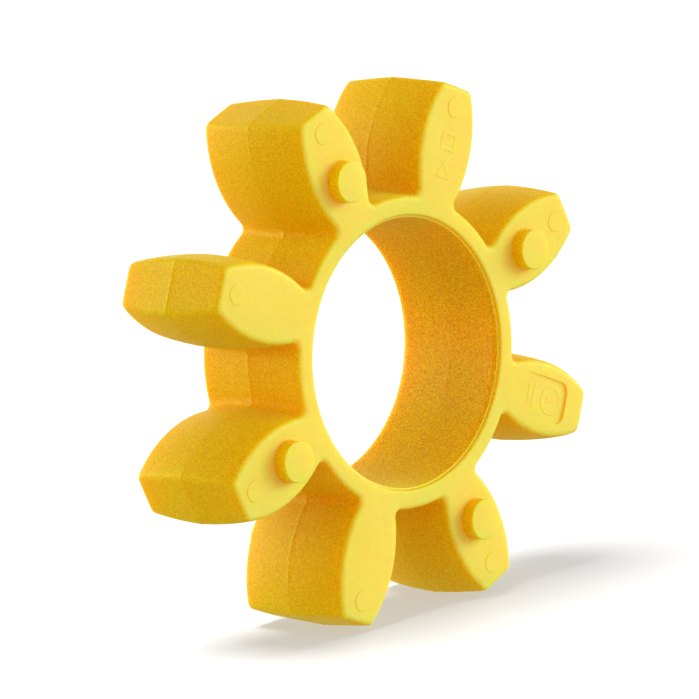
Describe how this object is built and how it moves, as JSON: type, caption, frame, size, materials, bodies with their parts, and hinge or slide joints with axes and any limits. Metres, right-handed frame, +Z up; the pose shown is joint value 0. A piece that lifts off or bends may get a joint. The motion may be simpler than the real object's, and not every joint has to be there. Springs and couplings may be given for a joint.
{
  "type": "jaw coupling spider",
  "caption": "Star-shaped elastomer insert for a jaw coupling, with crowned teeth round a thin ring and small spacer knobs on both faces.",
  "frame": {"origin": "centre of the ring, on the parting plane midway between the two tooth faces", "axes": "+Y along the coupling axis, away from the face with the ejector pads; +Z up, halfway between two teeth; +X to the right seen from the front"},
  "size_m": [0.0524, 0.0164, 0.0524],
  "materials": {
    "polyurethane_yellow": "satin, slightly translucent yellow polyurethane with a fine spark-eroded grain"
  },
  "bodies": {
    "root": {"elastomer_spider": "polyurethane_yellow"}
  },
  "joints": []
}
